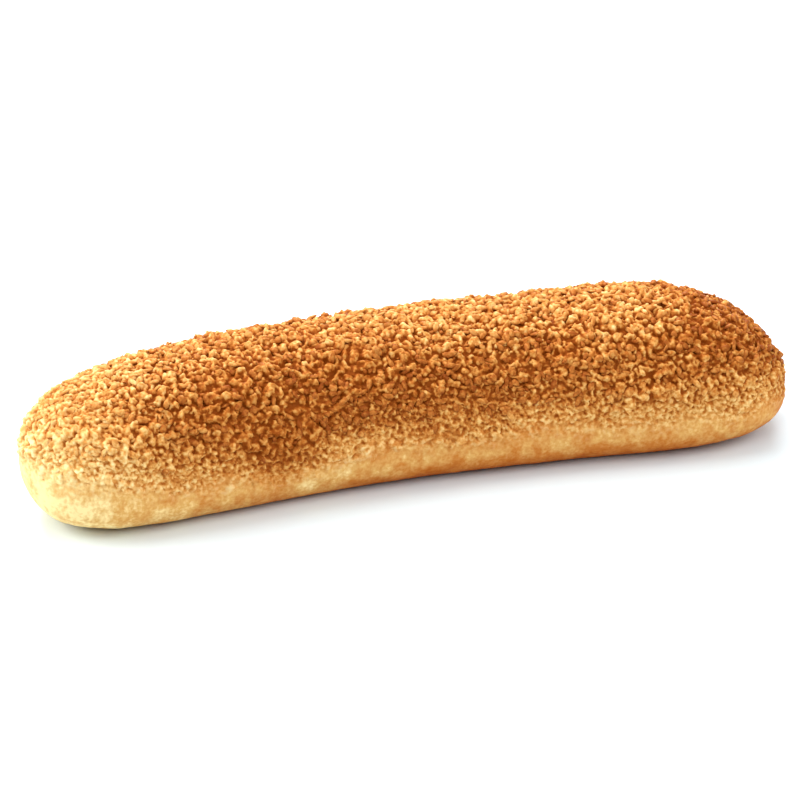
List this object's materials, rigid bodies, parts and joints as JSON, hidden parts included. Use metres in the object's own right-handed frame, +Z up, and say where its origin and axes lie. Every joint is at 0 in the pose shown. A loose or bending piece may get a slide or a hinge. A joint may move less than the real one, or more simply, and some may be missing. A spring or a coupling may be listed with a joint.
{
  "type": "sesame half baguette",
  "caption": "Short round-ended bread loaf with a slight bow, coated with toasted sesame on top and pale along its base, lying on a flat underside.",
  "frame": {"origin": "bottom centre of the loaf's box, on the surface it lies on", "axes": "+X along the loaf, +Y towards the outside of its bow, +Z up"},
  "size_m": [0.2708, 0.073, 0.0528],
  "materials": {
    "crust": "matt baked crust, pale cream at the base and golden brown on top",
    "sesame": "satin toasted sesame"
  },
  "bodies": {
    "root": {"sesame_half_baguette": "crust"}
  },
  "joints": []
}
